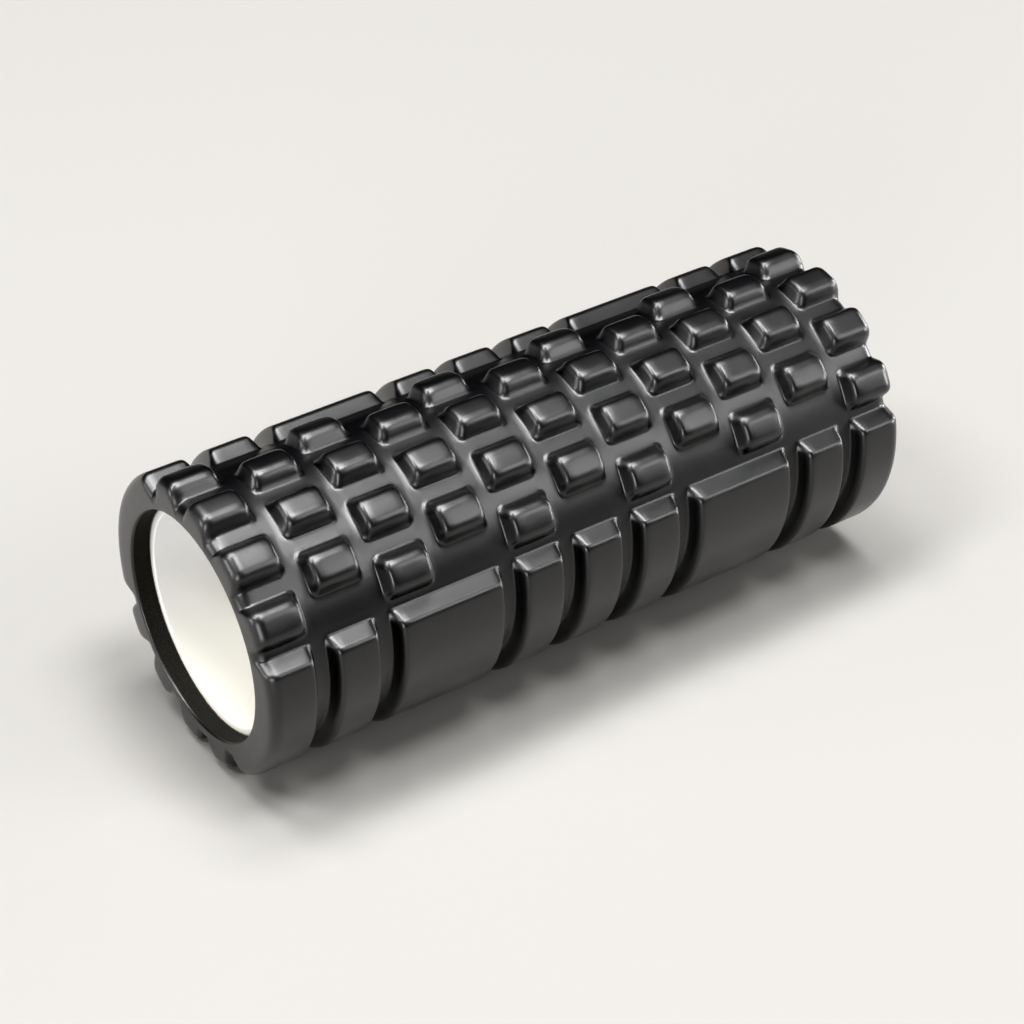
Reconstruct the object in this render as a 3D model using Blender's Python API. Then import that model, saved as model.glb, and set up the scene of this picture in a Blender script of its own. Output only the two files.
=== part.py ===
"""Hollow foam roller: a moulded black foam tread glued round a white plastic core tube.

The roller lies along X on a level floor, at z = 0 under its middle. The tread is a sheet, moulded flat with its
pattern and wrapped once round the core, so it has one butt seam along X. Angles round the roller are in degrees:
0 faces -Y, 90 is the top and 180 faces +Y. The pattern repeats after half a turn and mirrors about x = 0.
"""

import math
from collections import namedtuple

import bmesh
import bpy

# Driving dimensions, in metres
LENGTH = 0.330
TOP_RADIUS = 0.0674  # from the roller's axis to the tops of the pads and blocks
VALLEY_RADIUS = 0.0604  # from the axis to the floor of the channels
TREAD_INNER_RADIUS = 0.0520
CORE_WALL = 0.0030
CORE_RECESS = 0.0088  # from each end face of the tread to the core's end
CORE_EDGE = 0.0006  # bevel on the core's end edges
GLUE_THICKNESS = 0.0003
CLEARANCE = 0.0003  # between neighbouring bodies
END_ROUNDING = 0.0045  # on the tread's outer edge at each end

# Pattern along X: columns numbered from -5 to 5, in metres
OUTER_COLUMN = 5
COLUMN_PITCH = 0.0306
COLUMN_WIDTH = 0.0240  # at the foot of a block or pad
SIDE_SLOPE = 0.0030  # run of the side walls
WIDE_PAD_COLUMNS = (2, 3)  # one pad covers both of these columns, on each side of the middle

# Pattern round the roller: a zone of long pads, then a zone of small blocks, twice, in degrees
BLOCK_ZONE = 68.0
PAD_ZONE = BLOCK_ZONE - 90.0
PAD_ARC = 80.0  # at the foot of a pad
PAD_SLOPE = 4.5
BLOCK_PITCH = 24.5
BLOCK_ARC = 18.0  # at the foot of a block
BLOCK_SLOPE = 5.0
BLOCKS_IN_ODD_COLUMN = 4
BLOCKS_IN_EVEN_COLUMN = 3

# Facets round the roller, in degrees
LARGEST_FACET = 9.0
LEVEL_FACET = 3.0  # the level facet that the roller lies on, and its twin on top

CORE_HALF_LENGTH = LENGTH / 2 - CORE_RECESS
GLUE_OUTER_RADIUS = TREAD_INNER_RADIUS - CLEARANCE
GLUE_INNER_RADIUS = GLUE_OUTER_RADIUS - GLUE_THICKNESS
CORE_OUTER_RADIUS = GLUE_INNER_RADIUS - CLEARANCE
CORE_INNER_RADIUS = CORE_OUTER_RADIUS - CORE_WALL
AXIS_HEIGHT = TOP_RADIUS * math.cos(math.radians(LEVEL_FACET / 2))

LAST_BLOCK_EDGE = BLOCK_ZONE + 180 + BLOCK_PITCH * (BLOCKS_IN_ODD_COLUMN - 1) / 2 + BLOCK_ARC / 2
FIRST_PAD_EDGE = PAD_ZONE + 360 - PAD_ARC / 2
SEAM = (LAST_BLOCK_EDGE + FIRST_PAD_EDGE) / 2  # in the channel under the front pads
STRIP_HALF_ANGLE = math.degrees(GLUE_THICKNESS / 2 / VALLEY_RADIUS)
SLIT_HALF_ANGLE = math.degrees((GLUE_THICKNESS / 2 + CLEARANCE) / VALLEY_RADIUS)

Raised = namedtuple("Raised", "low high angle arc slope")  # a pad or block: X range, middle angle, arc and end slope


def clear_scene():
    for item in list(bpy.data.objects):
        bpy.data.objects.remove(item)


def make_material(name, color, roughness):
    material = bpy.data.materials.new(name)
    material.use_nodes = True
    shader = material.node_tree.nodes["Principled BSDF"]
    shader.inputs["Base Color"].default_value = (*color, 1.0)
    shader.inputs["Roughness"].default_value = roughness
    shader.inputs["Metallic"].default_value = 0.0
    return material


def column_range(first, last):
    """X range of a pad or block from one column to another. The end columns run on through the end faces."""
    low = first * COLUMN_PITCH - COLUMN_WIDTH / 2
    high = last * COLUMN_PITCH + COLUMN_WIDTH / 2
    if first == -OUTER_COLUMN:
        low -= COLUMN_WIDTH
    if last == OUTER_COLUMN:
        high += COLUMN_WIDTH
    return low, high


def pad_columns():
    """First and last column of each pad in a row."""
    inner, outer = WIDE_PAD_COLUMNS
    single = [n for n in range(-OUTER_COLUMN, OUTER_COLUMN + 1) if abs(n) not in WIDE_PAD_COLUMNS]
    return [(n, n) for n in single] + [(inner, outer), (-outer, -inner)]


def raised_features():
    """Every pad and block of the tread."""
    features = []
    for half_turn in (0.0, 180.0):
        for first, last in pad_columns():
            features.append(Raised(*column_range(first, last), PAD_ZONE + half_turn, PAD_ARC, PAD_SLOPE))
        for n in range(-OUTER_COLUMN, OUTER_COLUMN + 1):
            count = BLOCKS_IN_ODD_COLUMN if n % 2 else BLOCKS_IN_EVEN_COLUMN
            for k in range(count):
                angle = BLOCK_ZONE + half_turn + (k - (count - 1) / 2) * BLOCK_PITCH
                features.append(Raised(*column_range(n, n), angle, BLOCK_ARC, BLOCK_SLOPE))
    return features


def ramp(inside, slope):
    """0 at a foot, rising evenly to 1 over the slope."""
    return min(max(inside / slope, 0.0), 1.0)


def relief(x, angle, features):
    """Height of the tread at a point, from 0 on a channel's floor to 1 on a pad or block."""
    height = 0.0
    for one in features:
        along = ramp(min(x - one.low, one.high - x), SIDE_SLOPE)
        if along > height:
            turn = abs((angle - one.angle + 180.0) % 360.0 - 180.0)
            height = max(height, min(along, ramp(one.arc / 2 - turn, one.slope)))
    return height


def end_drop(x):
    """How far the rounding of the end edges lowers the tread."""
    over = max(abs(x) - (LENGTH / 2 - END_ROUNDING), 0.0)
    return END_ROUNDING - math.sqrt(max(END_ROUNDING**2 - over**2, 0.0))


def tread_stations(features):
    """X of every line of the tread's surface: the feet and tops of the walls, and the end rounding."""
    middle_of_rounding = END_ROUNDING * (1 - math.sin(math.radians(45)))
    ends = [LENGTH / 2, LENGTH / 2 - middle_of_rounding, LENGTH / 2 - END_ROUNDING]
    stations = {round(side * x, 7) for x in ends for side in (-1, 1)}
    for one in features:
        for x in (one.low, one.low + SIDE_SLOPE, one.high - SIDE_SLOPE, one.high):
            if abs(x) < LENGTH / 2:
                stations.add(round(x, 7))
    return sorted(stations)


def section_angles(features):
    """Angles of the sections, once round from one side of the seam to the other."""
    start, end = SEAM - 360.0 + SLIT_HALF_ANGLE, SEAM - SLIT_HALF_ANGLE
    lines = {0.0, 180.0}
    lines |= {pole + side * LEVEL_FACET / 2 for pole in (90.0, 270.0) for side in (-1, 1)}
    for one in features:
        for edge in (one.arc / 2, one.arc / 2 - one.slope):
            lines |= {one.angle - edge, one.angle + edge}
    lines = {round((line - start) % 360.0 + start, 6) for line in lines}
    lines = sorted(line for line in lines if start < line < end)
    angles = [start]
    for line in lines + [end]:
        gap = line - angles[-1]
        parts = math.ceil(gap / LARGEST_FACET - 1e-6)
        angles += [line - gap * k / parts for k in range(parts - 1, -1, -1)]
    return angles


def turned_body(name, material, angles, outline_at, axis, closed=True):
    """A body swept round the axis: outline_at(angle) is its section, a loop of (x, radius) points."""
    shape = bmesh.new()
    rings = []
    for angle in angles:
        across, up = -math.cos(math.radians(angle)), math.sin(math.radians(angle))
        outline = outline_at(angle)
        rings.append([(shape.verts.new((x, r * across, r * up)), r) for x, r in outline])
    neighbours = rings[1:] + rings[:1] if closed else rings[1:]
    for here, there in zip(rings, neighbours):
        for i in range(len(here)):
            corners = [here[i - 1], here[i], there[i], there[i - 1]]
            # Split from the highest corner, so that the corners of a pad or block are hips
            top = max(range(4), key=lambda k: corners[k][1])
            a, b, c, d = (corners[(top + k) % 4][0] for k in range(4))
            shape.faces.new((a, b, c))
            shape.faces.new((a, c, d))
    if not closed:
        shape.faces.new([vert for vert, _ in rings[0]])
        shape.faces.new([vert for vert, _ in reversed(rings[-1])])
    bmesh.ops.recalc_face_normals(shape, faces=shape.faces)
    mesh = bpy.data.meshes.new(name)
    shape.to_mesh(mesh)
    shape.free()
    mesh.shade_smooth()
    mesh.set_sharp_from_angle(angle=math.radians(25))
    mesh.materials.append(material)
    body = bpy.data.objects.new(name, mesh)
    body.parent = axis
    bpy.context.scene.collection.objects.link(body)
    return body


def band_outline(half_length, inner, outer, bevel=0.0):
    """Section of a plain band or tube, with its end edges bevelled."""
    if not bevel:
        return [(-half_length, inner), (half_length, inner), (half_length, outer), (-half_length, outer)]
    near, far = half_length - bevel, half_length
    low, high = inner + bevel, outer - bevel
    right = [(near, inner), (far, low), (far, high), (near, outer)]
    left = [(-near, outer), (-far, high), (-far, low), (-near, inner)]
    return right + left


def tread_outline(angle, stations, features):
    """Section of the tread: its patterned outside, then its plain inside."""
    outside = []
    for x in stations:
        radius = VALLEY_RADIUS + (TOP_RADIUS - VALLEY_RADIUS) * relief(x, angle, features)
        outside.append((x, radius - end_drop(x)))
    return outside + [(LENGTH / 2, TREAD_INNER_RADIUS), (-LENGTH / 2, TREAD_INNER_RADIUS)]


def build_roller():
    features = raised_features()
    stations = tread_stations(features)
    angles = section_angles(features)
    axis = bpy.data.objects.new("roller_axis", None)
    axis.location.z = AXIS_HEIGHT
    bpy.context.scene.collection.objects.link(axis)

    black_foam = make_material("black_foam", (0.012, 0.012, 0.013), 0.45)
    white_plastic = make_material("white_plastic", (0.83, 0.82, 0.78), 0.35)
    glue = make_material("glue", (0.70, 0.62, 0.42), 0.30)

    core = band_outline(CORE_HALF_LENGTH, CORE_INNER_RADIUS, CORE_OUTER_RADIUS, CORE_EDGE)
    turned_body("core_tube", white_plastic, angles, lambda angle: core, axis)

    film = band_outline(CORE_HALF_LENGTH - CLEARANCE, GLUE_INNER_RADIUS, GLUE_OUTER_RADIUS)
    turned_body("glue_film", glue, angles, lambda angle: film, axis)

    def tread(angle):
        return tread_outline(angle, stations, features)

    turned_body("foam_tread", black_foam, angles, tread, axis, closed=False)

    strip = band_outline(LENGTH / 2 - END_ROUNDING, TREAD_INNER_RADIUS, VALLEY_RADIUS - CLEARANCE)
    strip_angles = [SEAM - STRIP_HALF_ANGLE, SEAM + STRIP_HALF_ANGLE]
    turned_body("seam_glue", glue, strip_angles, lambda angle: strip, axis, closed=False)


clear_scene()
build_roller()
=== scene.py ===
"""Looks of the hollow foam roller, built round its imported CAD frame.

Lengths are in metres and angles in degrees. The roller lies along X. An angle round it is 0 on the -Y side,
90 on top and 180 on the +Y side. A height on the tread is 0 on the floor of a channel and 1 on top of a pad
or block.
"""

import math
from collections import namedtuple

import bpy
import numpy as np
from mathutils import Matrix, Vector


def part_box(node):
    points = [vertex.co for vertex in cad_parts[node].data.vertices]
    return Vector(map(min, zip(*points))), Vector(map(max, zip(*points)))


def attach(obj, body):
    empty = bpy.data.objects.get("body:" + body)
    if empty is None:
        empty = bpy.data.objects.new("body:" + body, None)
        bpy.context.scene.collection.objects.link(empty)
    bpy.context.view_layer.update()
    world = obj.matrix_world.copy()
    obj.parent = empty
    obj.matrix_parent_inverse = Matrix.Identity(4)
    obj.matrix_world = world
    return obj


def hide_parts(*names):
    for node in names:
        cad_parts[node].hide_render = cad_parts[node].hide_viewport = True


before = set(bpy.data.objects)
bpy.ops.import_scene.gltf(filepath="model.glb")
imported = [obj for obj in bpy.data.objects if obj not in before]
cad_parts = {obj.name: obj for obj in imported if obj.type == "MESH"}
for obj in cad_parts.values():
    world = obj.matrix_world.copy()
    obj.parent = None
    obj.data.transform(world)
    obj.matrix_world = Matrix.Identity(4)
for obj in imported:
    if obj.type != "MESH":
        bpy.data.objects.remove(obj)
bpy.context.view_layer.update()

# The frame's sizes
TREAD_LOW, TREAD_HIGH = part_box("foam_tread")
END_X = TREAD_HIGH.x
CORE_END_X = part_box("core_tube")[1].x
AXIS_Z = (TREAD_LOW.z + TREAD_HIGH.z) / 2
TOP_RADIUS = (TREAD_HIGH.y - TREAD_LOW.y) / 2

# The tread's section: its radii as in the CAD, and the roundings of its visible edges
VALLEY_RADIUS = TOP_RADIUS - 0.0070
TREAD_INNER_RADIUS = TOP_RADIUS - 0.0154
INNER_RIM_ROUNDING = 0.0011
PAD_END_ROUNDING = 0.0050
VALLEY_END_ROUNDING = 0.0060

# The pattern, as in the CAD
OUTER_COLUMN = 5
COLUMN_PITCH = 0.0306
COLUMN_WIDTH = 0.0240
WIDE_PAD_COLUMNS = (2, 3)
BLOCK_ZONE = 68.0
PAD_ZONE = BLOCK_ZONE - 90.0
PAD_ARC = 80.0
BLOCK_PITCH = 24.5
BLOCK_ARC = 18.0
BLOCKS_IN_ODD_COLUMN = 4
BLOCKS_IN_EVEN_COLUMN = 3

# The seam, in the middle of the channel between a block zone and the front pads
LAST_BLOCK_EDGE = BLOCK_ZONE + 180.0 + (BLOCKS_IN_ODD_COLUMN - 1) / 2 * BLOCK_PITCH + BLOCK_ARC / 2
FIRST_PAD_EDGE = PAD_ZONE + 360.0 - PAD_ARC / 2
SEAM = (LAST_BLOCK_EDGE + FIRST_PAD_EDGE) / 2
SEAM_GROOVE_ANGLE = 0.45
SEAM_GROOVE_DEPTH = 0.0007
SEAM_GLUE_SUNK = 0.55 * SEAM_GROOVE_DEPTH
SEAM_GLUE_HALF_WIDTH = 0.00020
SEAM_GLUE_DEPTH = 0.0012

# The tube and the adhesive round it
CORE_GAP = 0.0002
CORE_WALL = 0.0034
CORE_EDGE_ROUNDING = 0.0005
GLUE_BITE = 0.0001  # how far the film reaches into the foam
BEAD_START = 0.0003  # from the tube's end
BEAD_REACH, BEAD_REACH_VARIES = 0.00040, 0.00015
BEAD_THICKNESS, BEAD_THICKNESS_VARIES = 0.00038, 0.00010
FILM_START = 0.0008
FILM_THICKNESS = 0.0002
# Waves round the bead: how many, size, shift in degrees
BEAD_WAVES = ((7, 0.9, 40.0), (13, 0.7, 200.0), (29, 0.5, 75.0), (47, 0.35, 310.0))

# The walls of a pad or block: their run along X and round the roller, the corner radius in plan, and how soft
# the edges are. A foot or shoulder curve reaches this far, in heights of the straight wall, to each side of
# its edge
Walls = namedtuple("Walls", "run_x run_angle corner foot_flat foot_slope shoulder_slope shoulder_flat")
PAD_WALLS = Walls(0.0028, 4.2, 0.0022, 0.28, 0.11, 0.22, 0.50)
BLOCK_WALLS = Walls(0.0023, 3.5, 0.0033, 0.35, 0.12, 0.36, 0.92)

# Mesh density
SHOULDER_LINES = 5
LARGEST_STEP_X = 0.0030
LARGEST_STEP_ANGLE = 3.0
SMALLEST_STEP_X = 0.00032
SMALLEST_STEP_ANGLE = 0.30
END_FACE_SHARES = (0.35, 0.7)  # rings on an end face, from its outer to its inner edge
HALVINGS = 26
LOWEST_HEIGHT, HIGHEST_HEIGHT = -1.0, 3.0  # of a wall's planes, where the search for them starts
ROUNDING_STEPS = 7
CORE_SEGMENTS = 192
GLUE_SEGMENTS = 480
SEAM_STATIONS = 60
BEAD_TURNS = (0.0, 30.0, 60.0, 90.0)

Raised = namedtuple("Raised", "middle half_width angle half_arc walls")


def rad(degrees):
    return math.radians(degrees)


# ---------------------------------------------------------------- camera, light and floor

CAMERA_OFFSET = Vector((-0.56227, -0.81829, 0.72025))  # from the middle of the roller
CAMERA_AIM = Vector((0.45492, 0.66555, -0.59169))
CAMERA_LENS = 97.1
SENSOR = 36.0
VIEW_GAMMA = 0.8  # below 1 raises the contrast
BLACK_POINT = 0.017
FLOOR_RADIUS = 1.9
FLOOR_SIDES = 96


def make_camera():
    data = bpy.data.cameras.new("camera")
    data.lens = CAMERA_LENS
    data.sensor_width = SENSOR
    data.clip_end = 50.0
    camera = bpy.data.objects.new("camera", data)
    camera.location = Vector((0.0, 0.0, AXIS_Z)) + CAMERA_OFFSET
    camera.rotation_euler = CAMERA_AIM.to_track_quat("-Z", "Y").to_euler()
    bpy.context.scene.collection.objects.link(camera)
    bpy.context.scene.camera = camera


def softbox(name, azimuth, elevation, distance, size, radiance):
    """A square area light facing the roller, unseen by the camera. Azimuth 0 is +X and 90 is +Y."""
    data = bpy.data.lights.new(name, "AREA")
    data.shape = "SQUARE"
    data.size = size
    data.energy = math.pi * size**2 * radiance
    lamp = bpy.data.objects.new(name, data)
    level = math.cos(rad(elevation))
    turn = rad(azimuth)
    direction = Vector((level * math.cos(turn), level * math.sin(turn), math.sin(rad(elevation))))
    lamp.location = Vector((0.0, 0.0, AXIS_Z)) + direction * distance
    lamp.rotation_euler = direction.to_track_quat("Z", "Y").to_euler()
    lamp.visible_camera = False
    bpy.context.scene.collection.objects.link(lamp)


def make_studio():
    scene = bpy.context.scene
    scene.view_settings.view_transform = "Standard"
    scene.view_settings.look = "None"
    scene.view_settings.gamma = VIEW_GAMMA
    scene.view_settings.use_curve_mapping = True
    scene.view_settings.curve_mapping.black_level = (BLACK_POINT, BLACK_POINT, BLACK_POINT)
    scene.view_settings.curve_mapping.update()
    world = bpy.data.worlds.new("studio")
    scene.world = world
    world.use_nodes = True
    nodes, links = world.node_tree.nodes, world.node_tree.links
    dark = nodes["Background"]
    dark.inputs["Color"].default_value = (1.0, 0.99, 0.97, 1.0)
    dark.inputs["Strength"].default_value = 0.01
    pale = nodes.new("ShaderNodeBackground")
    pale.inputs["Color"].default_value = (0.95, 0.935, 0.905, 1.0)
    seen = nodes.new("ShaderNodeLightPath").outputs["Is Camera Ray"]
    mix = nodes.new("ShaderNodeMixShader")
    for source, socket in ((seen, 0), (dark.outputs[0], 1), (pale.outputs[0], 2)):
        links.new(source, mix.inputs[socket])
    links.new(mix.outputs[0], nodes["World Output"].inputs["Surface"])
    softbox("top_front", -65.0, 72.0, 6.0, 1.95, 25.5)
    softbox("top_back", 135.0, 74.0, 6.0, 1.95, 21.0)
    softbox("top_right", 40.0, 78.0, 6.0, 1.95, 15.0)
    softbox("upper_left", 175.0, 56.0, 6.0, 1.6, 23.5)
    softbox("front_left", 220.0, 11.0, 4.2, 1.6, 10.5)
    softbox("front_right", -55.0, 35.0, 5.0, 2.0, 6.0)
    softbox("low_right", 0.0, 9.0, 4.2, 1.44, 11.5)
    softbox("low_front_right", -30.0, 9.0, 4.2, 1.44, 12.5)
    softbox("low_left", 168.0, 12.0, 4.2, 1.7, 8.5)


def make_floor():
    mesh = bpy.data.meshes.new("floor")
    turns = [2 * math.pi * k / FLOOR_SIDES for k in range(FLOOR_SIDES)]
    edge = [(FLOOR_RADIUS * math.cos(a), FLOOR_RADIUS * math.sin(a), 0.0) for a in turns]
    mesh.from_pydata(edge, [], [tuple(range(FLOOR_SIDES))])
    floor = bpy.data.objects.new("floor", mesh)
    bpy.context.scene.collection.objects.link(floor)
    material, _, _, shader = new_material("floor", (0.322, 0.315, 0.303), 0.9)
    shader.inputs["Specular IOR Level"].default_value = 0.1
    mesh.materials.append(material)


# ---------------------------------------------------------------- materials

def new_material(name, color, roughness):
    material = bpy.data.materials.new(name)
    material.use_nodes = True
    tree = material.node_tree
    shader = tree.nodes["Principled BSDF"]
    shader.inputs["Base Color"].default_value = (*color, 1.0)
    shader.inputs["Roughness"].default_value = roughness
    return material, tree.nodes, tree.links, shader


def noise(nodes, links, scale, detail=3.0, stretch=None):
    """A noise texture in the object's own coordinates, stretched along each axis."""
    texture = nodes.new("ShaderNodeTexNoise")
    texture.inputs["Scale"].default_value = scale
    texture.inputs["Detail"].default_value = detail
    coordinates = nodes.new("ShaderNodeTexCoord")
    source = coordinates.outputs["Object"]
    if stretch:
        mapping = nodes.new("ShaderNodeMapping")
        mapping.inputs["Scale"].default_value = stretch
        links.new(source, mapping.inputs["Vector"])
        source = mapping.outputs["Vector"]
    links.new(source, texture.inputs["Vector"])
    return texture.outputs["Fac"]


def map_range(nodes, links, source, low, high, to_low, to_high):
    node = nodes.new("ShaderNodeMapRange")
    node.interpolation_type = "SMOOTHSTEP"
    links.new(source, node.inputs["Value"])
    for socket, value in zip(("From Min", "From Max", "To Min", "To Max"), (low, high, to_low, to_high)):
        node.inputs[socket].default_value = value
    return node.outputs["Result"]


def mix_colors(nodes, links, factor, first, second):
    node = nodes.new("ShaderNodeMix")
    node.data_type = "RGBA"
    links.new(factor, node.inputs["Factor"])
    for name, value in (("A", first), ("B", second)):
        socket = next(s for s in node.inputs if s.name == name and s.type == "RGBA")
        if isinstance(value, tuple):
            socket.default_value = (*value, 1.0)
        else:
            links.new(value, socket)
    return next(s for s in node.outputs if s.type == "RGBA")


def bump(nodes, links, height, distance, strength=1.0, normal=None):
    node = nodes.new("ShaderNodeBump")
    node.inputs["Distance"].default_value = distance
    node.inputs["Strength"].default_value = strength
    links.new(height, node.inputs["Height"])
    if normal:
        links.new(normal, node.inputs["Normal"])
    return node.outputs["Normal"]


def foam_material():
    """Black moulded EVA: a satin skin with a fine grain, slightly uneven gloss and a trace of dust."""
    material, nodes, links, shader = new_material("eva_foam", (0.004, 0.004, 0.0045), 0.32)
    shader.inputs["IOR"].default_value = 1.5
    shader.inputs["Coat Weight"].default_value = 1.0
    shader.inputs["Coat Roughness"].default_value = 0.38
    patches = noise(nodes, links, 28.0, 4.0)
    dust = noise(nodes, links, 900.0, 2.0)
    share = map_range(nodes, links, dust, 0.62, 0.80, 0.0, 0.5)
    color = mix_colors(nodes, links, share, (0.0030, 0.0031, 0.0038), (0.013, 0.0127, 0.0125))
    links.new(color, shader.inputs["Base Color"])
    links.new(map_range(nodes, links, patches, 0.30, 0.70, 0.30, 0.38), shader.inputs["Roughness"])
    grain = noise(nodes, links, 1500.0, 3.0)
    ripple = noise(nodes, links, 90.0, 2.0)
    first = bump(nodes, links, grain, 0.00004, 0.5)
    links.new(bump(nodes, links, ripple, 0.00025, 0.4, first), shader.inputs["Normal"])
    return material


def cut_foam_material():
    """The tread's plain inside, where the foam has no skin: matt, with fine open cells."""
    material, nodes, links, shader = new_material("cut_foam", (0.024, 0.0225, 0.0195), 0.75)
    shader.inputs["Specular IOR Level"].default_value = 0.3
    cells = noise(nodes, links, 2200.0, 3.0)
    share = map_range(nodes, links, cells, 0.40, 0.65, 0.0, 1.0)
    color = mix_colors(nodes, links, share, (0.016, 0.0152, 0.0130), (0.034, 0.032, 0.028))
    links.new(color, shader.inputs["Base Color"])
    links.new(bump(nodes, links, cells, 0.00012, 0.6), shader.inputs["Normal"])
    return material


def core_material():
    """White extruded plastic with faint clouds and fine lines along the extrusion, painted darker and
    creamier low down: a painted warm reflection of the floor and painted shade.
    """
    material, nodes, links, shader = new_material("core_plastic", (0.87, 0.87, 0.86), 0.33)
    shader.inputs["IOR"].default_value = 1.5
    cloud = noise(nodes, links, 9.0, 2.0)
    coordinates = nodes.new("ShaderNodeTexCoord")
    axes = nodes.new("ShaderNodeSeparateXYZ")
    links.new(coordinates.outputs["Object"], axes.inputs["Vector"])
    # Painted reflection and painted shade: this mask turns the base colour darker and creamier towards the
    # bottom, standing in for the warm floor's reflection
    low = map_range(nodes, links, axes.outputs["Z"], 0.015, 0.095, 1.0, 0.0)
    share = map_range(nodes, links, cloud, 0.40, 0.65, 0.0, 1.0)
    plain = mix_colors(nodes, links, share, (0.88, 0.885, 0.895), (0.865, 0.865, 0.865))
    # The painted darker, creamy tint at the bottom
    color = mix_colors(nodes, links, low, plain, (0.785, 0.768, 0.71))
    links.new(color, shader.inputs["Base Color"])
    lines = noise(nodes, links, 260.0, 3.0, (0.02, 1.0, 1.0))
    links.new(map_range(nodes, links, lines, 0.3, 0.7, 0.28, 0.40), shader.inputs["Roughness"])
    links.new(bump(nodes, links, lines, 0.00008, 0.5), shader.inputs["Normal"])
    return material


def glue_material():
    """Contact adhesive dried to a dull grey, with bubbles."""
    material, nodes, links, shader = new_material("adhesive", (0.20, 0.19, 0.17), 0.35)
    bubbles = noise(nodes, links, 1200.0, 2.0)
    share = map_range(nodes, links, bubbles, 0.45, 0.65, 0.0, 1.0)
    color = mix_colors(nodes, links, share, (0.13, 0.12, 0.10), (0.30, 0.28, 0.24))
    links.new(color, shader.inputs["Base Color"])
    links.new(bump(nodes, links, bubbles, 0.00015, 0.6), shader.inputs["Normal"])
    return material


# ---------------------------------------------------------------- the tread's pattern

def pad_columns():
    """First and last column of each pad in a row."""
    inner, outer = WIDE_PAD_COLUMNS
    single = [n for n in range(-OUTER_COLUMN, OUTER_COLUMN + 1) if abs(n) not in WIDE_PAD_COLUMNS]
    return [(n, n) for n in single] + [(inner, outer), (-outer, -inner)]


def raised(first, last, angle, arc, walls):
    """A pad or block from one column to another. In an end column it runs on through the end face."""
    low = first * COLUMN_PITCH - COLUMN_WIDTH / 2
    high = last * COLUMN_PITCH + COLUMN_WIDTH / 2
    low -= COLUMN_WIDTH if first == -OUTER_COLUMN else 0.0
    high += COLUMN_WIDTH if last == OUTER_COLUMN else 0.0
    return Raised((low + high) / 2, (high - low) / 2, angle, arc / 2, walls)


def raised_features():
    features = []
    for half_turn in (0.0, 180.0):
        for first, last in pad_columns():
            features.append(raised(first, last, PAD_ZONE + half_turn, PAD_ARC, PAD_WALLS))
        for n in range(-OUTER_COLUMN, OUTER_COLUMN + 1):
            count = BLOCKS_IN_ODD_COLUMN if n % 2 else BLOCKS_IN_EVEN_COLUMN
            for k in range(count):
                angle = BLOCK_ZONE + half_turn + (k - (count - 1) / 2) * BLOCK_PITCH
                features.append(raised(n, n, angle, BLOCK_ARC, BLOCK_WALLS))
    return features


def soft_step(height, walls):
    """Clips a wall's height to 0..1, with a curved foot and shoulder in place of the two sharp edges."""
    def curve(x, along_flat, along_slope):
        # A parabola that leaves the flat at -along_flat and meets the slope at +along_slope
        a = along_slope - along_flat
        c = -along_flat - np.clip(x, -along_flat, along_slope)
        s = (-along_flat + np.sqrt(along_flat**2 - a * c)) / a if abs(a) > 1e-9 else -c / (2 * along_flat)
        return along_slope * s**2
    foot = curve(height, walls.foot_flat, walls.foot_slope)
    foot = np.where(height < walls.foot_slope, foot, height)
    below = 1.0 - height
    shoulder = curve(below, walls.shoulder_flat, walls.shoulder_slope)
    shoulder = np.where(below < walls.shoulder_slope, shoulder, below)
    return np.where(height < 0.5, foot, 1.0 - shoulder)


def wall_height(x, turn, one):
    """Height of a pad or block's straight walls over the point, unclipped: found by halving."""
    low, high = np.full(x.shape, LOWEST_HEIGHT), np.full(x.shape, HIGHEST_HEIGHT)
    arc = np.radians(turn) * VALLEY_RADIUS
    for _ in range(HALVINGS):
        height = (low + high) / 2
        half_x = one.half_width - one.walls.run_x * height
        half_arc = rad(1.0) * VALLEY_RADIUS * (one.half_arc - one.walls.run_angle * height)
        over_x = np.abs(x - one.middle) - half_x + one.walls.corner
        over_arc = np.abs(arc) - half_arc + one.walls.corner
        outside = np.hypot(np.maximum(over_x, 0.0), np.maximum(over_arc, 0.0))
        gap = outside + np.minimum(np.maximum(over_x, over_arc), 0.0) - one.walls.corner
        inside = gap < 0.0
        low, high = np.where(inside, height, low), np.where(inside, high, height)
    return (low + high) / 2


def relief(x, angle, features):
    """Height of the tread on a grid of stations along X by angles."""
    total = np.zeros((len(x), len(angle)))
    for one in features:
        turn = (angle - one.angle + 180.0) % 360.0 - 180.0
        near_x = np.flatnonzero(np.abs(x - one.middle) < one.half_width + one.walls.run_x)
        near_turn = np.flatnonzero(np.abs(turn) < one.half_arc + one.walls.run_angle)
        grid_x, grid_turn = np.meshgrid(x[near_x], turn[near_turn], indexing="ij")
        here = soft_step(wall_height(grid_x, grid_turn, one), one.walls)
        window = np.ix_(near_x, near_turn)
        total[window] = np.maximum(total[window], here)
    return total


def fill_gaps(lines, largest):
    """Sorted lines, with more put in between so that no step is larger than asked."""
    filled = [lines[0]]
    for line in lines[1:]:
        parts = max(math.ceil((line - filled[-1]) / largest - 1e-6), 1)
        start = filled[-1]
        filled += [start + (line - start) * k / parts for k in range(1, parts + 1)]
    return np.array(filled)


def thin_out(lines, smallest):
    """Sorted lines, without those that fall too close behind the one before."""
    kept = []
    for line in sorted(lines):
        if not kept or line - kept[-1] > smallest:
            kept.append(line)
    return kept


def wall_lines(walls):
    """Where the grid's lines cross a wall, in heights of the straight wall from its foot."""
    foot = [-walls.foot_flat, -walls.foot_flat / 3, walls.foot_slope]
    shoulder = np.linspace(1.0 - walls.shoulder_slope, 1.0 + walls.shoulder_flat, SHOULDER_LINES)
    return foot + list(shoulder)


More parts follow.
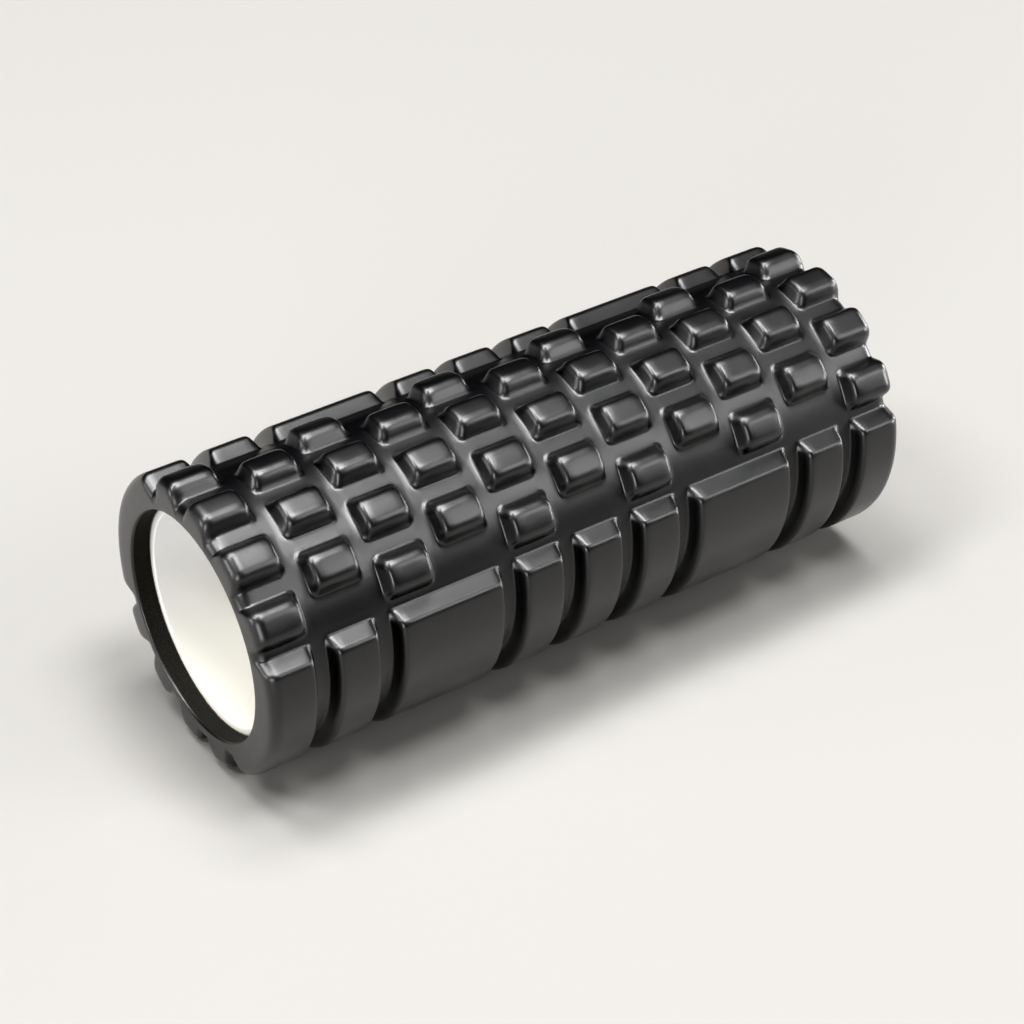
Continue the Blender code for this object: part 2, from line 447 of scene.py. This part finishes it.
def tread_stations(features):
    """X of the grid's lines: close together on walls and on the rounding of the ends."""
    lines = []
    for one in features:
        for height in wall_lines(one.walls):
            offset = one.half_width - height * one.walls.run_x
            lines += [one.middle - offset, one.middle + offset]
    last = END_X - VALLEY_END_ROUNDING
    lines = [x for x in lines if abs(x) < last]
    steps = np.linspace(0.0, 90.0, ROUNDING_STEPS + 3)
    ends = [last + VALLEY_END_ROUNDING * math.sin(rad(a)) for a in steps]
    return fill_gaps(thin_out(lines + ends + [-x for x in ends], SMALLEST_STEP_X), LARGEST_STEP_X)


def tread_angles(features):
    """Angles of the grid's lines, once round from the seam to the seam."""
    lines = []
    for one in features:
        for height in wall_lines(one.walls):
            offset = one.half_arc - height * one.walls.run_angle
            lines += [one.angle - offset, one.angle + offset]
    lines = [(line - SEAM) % 360.0 + SEAM for line in lines]
    around_seam = [SEAM_GROOVE_ANGLE * k for k in (0.0, 0.25, 0.5, 1.0)]
    lines = [line for line in lines if SEAM + around_seam[-1] < line < SEAM + 360.0 - around_seam[-1]]
    lines += [SEAM + a for a in around_seam] + [SEAM + 360.0 - a for a in around_seam]
    return fill_gaps(thin_out(lines, SMALLEST_STEP_ANGLE), LARGEST_STEP_ANGLE)


def end_drop(x, height):
    """How far the rounded end edges lower the tread. The rounding is a little larger in the channels."""
    rounding = VALLEY_END_ROUNDING + (PAD_END_ROUNDING - VALLEY_END_ROUNDING) * height
    over = np.maximum(np.abs(x) - (END_X - rounding), 0.0)
    return rounding - np.sqrt(np.maximum(rounding**2 - over**2, 0.0))


def seam_drop(angle):
    """Depth of the butt seam's groove."""
    off = np.abs((angle - SEAM + 180.0) % 360.0 - 180.0)
    return SEAM_GROOVE_DEPTH * np.clip(1.0 - off / SEAM_GROOVE_ANGLE, 0.0, 1.0) ** 1.5


# ---------------------------------------------------------------- meshes

def place(x, radius, angle):
    """Points at a distance from the roller's axis, at angles round it."""
    a = np.radians(angle)
    return np.stack([x + 0 * radius, -radius * np.cos(a), AXIS_Z + radius * np.sin(a)], axis=-1)


def swept_mesh(name, points):
    """A smooth mesh from a grid of points: rows run once round the section, columns once round the axis."""
    rows, columns = points.shape[:2]
    index = np.arange(rows * columns).reshape(rows, columns)
    along = np.roll(index, -1, axis=0)
    beside = np.roll(index, -1, axis=1)
    quads = np.stack([index, beside, np.roll(along, -1, axis=1), along], axis=-1).reshape(-1, 4)
    mesh = bpy.data.meshes.new(name)
    mesh.from_pydata(points.reshape(-1, 3).tolist(), [], quads.tolist())
    mesh.validate()
    mesh.shade_smooth()
    piece = bpy.data.objects.new(name, mesh)
    bpy.context.scene.collection.objects.link(piece)
    return piece


def capped_mesh(name, points):
    """A flat-shaded bar from sections of four corners, closed at both ends."""
    count = len(points)
    quads = [(0, 1, 2, 3), tuple(4 * (count - 1) + k for k in (3, 2, 1, 0))]
    for k in range(count - 1):
        for c in range(4):
            quads.append((4 * k + c, 4 * k + 4 + c, 4 * k + 4 + (c + 1) % 4, 4 * k + (c + 1) % 4))
    mesh = bpy.data.meshes.new(name)
    mesh.from_pydata(points.reshape(-1, 3).tolist(), [], quads)
    mesh.validate()
    bar = bpy.data.objects.new(name, mesh)
    bpy.context.scene.collection.objects.link(bar)
    return bar


def make_tread():
    features = raised_features()
    x = tread_stations(features)
    angle = tread_angles(features)[:-1]
    height = relief(x, angle, features)
    radius = VALLEY_RADIUS + (TOP_RADIUS - VALLEY_RADIUS) * height
    radius = radius - end_drop(x[:, None], height) - seam_drop(angle)[None, :]
    outside = place(x[:, None] * np.ones_like(radius), radius, angle[None, :])

    rim_radius = TREAD_INNER_RADIUS + INNER_RIM_ROUNDING
    turns = np.linspace(0.0, 90.0, ROUNDING_STEPS)
    right, left = [], []
    for share in END_FACE_SHARES:
        for end, edge, x_end in ((right, radius[-1], END_X), (left, radius[0], -END_X)):
            end.append(place(x_end, edge + (rim_radius - edge) * share, angle))
    for a in turns:
        ring = np.full(len(angle), rim_radius - INNER_RIM_ROUNDING * math.sin(rad(a)))
        across = END_X - INNER_RIM_ROUNDING * (1 - math.cos(rad(a)))
        right.append(place(across, ring, angle))
        left.append(place(-across, ring, angle))
    points = np.concatenate([outside, np.array(right), np.array(left)[::-1]])
    tread = swept_mesh("tread", points)
    tread.data.materials.append(foam_material())
    tread.data.materials.append(cut_foam_material())
    which = np.zeros(len(tread.data.polygons), int)
    inner_row = (len(outside) + len(right) - 1) * len(angle)
    which[inner_row:inner_row + len(angle)] = 1
    tread.data.polygons.foreach_set("material_index", which)
    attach(tread, "root")
    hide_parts("foam_tread")


def ring_points(section, segments):
    """A grid of points: a section of (x, radius) points turned round the axis."""
    angle = np.arange(segments) * 360.0 / segments
    return np.array([place(np.full(segments, x), np.full(segments, r), angle) for x, r in section])


def tube_section(end_x, inner, outer, edge, steps=4):
    """Section of a tube with rounded end edges."""
    corners = [(end_x - edge, inner + edge, -90.0), (end_x - edge, outer - edge, 0.0)]
    right = []
    for x, r, start in corners:
        for k in range(steps + 1):
            a = rad(start + 90.0 * k / steps)
            right.append((x + edge * math.cos(a), r + edge * math.sin(a)))
    left = [(-x, r) for x, r in reversed(right)]
    return right + left


def make_core():
    outer = TREAD_INNER_RADIUS - CORE_GAP
    section = tube_section(CORE_END_X, outer - CORE_WALL, outer, CORE_EDGE_ROUNDING)
    core = swept_mesh("core", ring_points(section, CORE_SEGMENTS))
    core.data.materials.append(core_material())
    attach(core, "root")
    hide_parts("core_tube")


def make_glue_film():
    """The adhesive between tube and foam, with a thin uneven bead squeezed out at each end of the tube."""
    outer = TREAD_INNER_RADIUS + GLUE_BITE
    angle = np.arange(GLUE_SEGMENTS) * 360.0 / GLUE_SEGMENTS
    uneven = sum(size * np.sin(np.radians(count * angle + shift)) for count, size, shift in BEAD_WAVES)
    uneven = uneven / sum(size for _, size, _ in BEAD_WAVES)
    reach = BEAD_REACH + BEAD_REACH_VARIES * uneven
    thickness = BEAD_THICKNESS + BEAD_THICKNESS_VARIES * uneven
    rings = []
    for side in (1.0, -1.0):
        end = []
        for turn in BEAD_TURNS:
            x = side * (CORE_END_X - BEAD_START + reach * math.cos(rad(turn)))
            end.append(place(x, outer - thickness * math.sin(rad(turn)), angle))
        end.append(place(side * (CORE_END_X - FILM_START), outer - FILM_THICKNESS + 0 * angle, angle))
        rings.append(np.array(end))
    film = swept_mesh("glue_film_bead", np.concatenate([rings[0], rings[1][::-1]]))
    film.data.materials.append(glue_material())
    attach(film, "root")
    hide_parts("glue_film")


def make_seam_line():
    """The adhesive in the butt seam of the foam, sunk in its groove."""
    last = END_X - VALLEY_END_ROUNDING
    outer = VALLEY_RADIUS - SEAM_GLUE_SUNK
    inner = outer - SEAM_GLUE_DEPTH
    half_angle = math.degrees(SEAM_GLUE_HALF_WIDTH / outer)
    corners = [(outer, 1), (outer, -1), (inner, -1), (inner, 1)]
    points = []
    for x in np.linspace(-last, last, SEAM_STATIONS):
        points.append([place(x, np.array(radius), SEAM + side * half_angle) for radius, side in corners])
    seam = capped_mesh("seam_line", np.array(points))
    seam.data.materials.append(glue_material())
    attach(seam, "root")
    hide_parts("seam_glue")


# ---------------------------------------------------------------- the scene

make_camera()
make_studio()
make_floor()
make_tread()
make_core()
make_glue_film()
make_seam_line()
